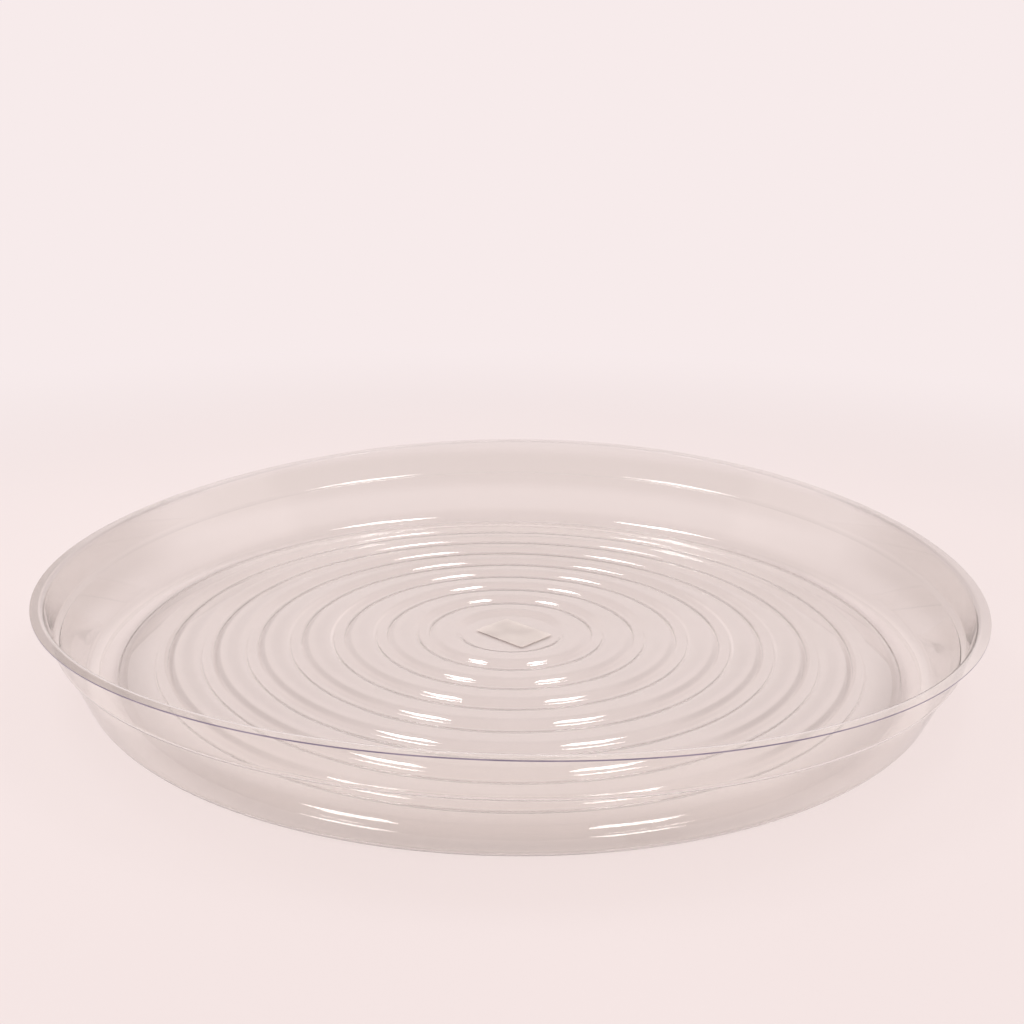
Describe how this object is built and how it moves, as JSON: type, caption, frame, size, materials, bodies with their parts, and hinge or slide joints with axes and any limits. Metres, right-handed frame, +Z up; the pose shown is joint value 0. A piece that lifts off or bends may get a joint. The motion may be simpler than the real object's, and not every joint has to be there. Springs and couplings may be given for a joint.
{
  "type": "plant saucer",
  "caption": "Round clear thin-sheet plant saucer with a flaring wall, flat rim flange and raised concentric ribs that stand a pot clear of drained water.",
  "frame": {"origin": "centre of the saucer, on the flat face of its standing foot", "axes": "+Z up along the saucer's axis of revolution, out of its open side; X and Y are equal, and the camera side of the picture is -Y"},
  "size_m": [0.5334, 0.5334, 0.054],
  "materials": {
    "clear_sheet": "clear, glossy, colourless formed sheet",
    "label": "thin satin label, bare"
  },
  "bodies": {
    "root": {"saucer": "clear_sheet", "label": "label"}
  },
  "joints": []
}
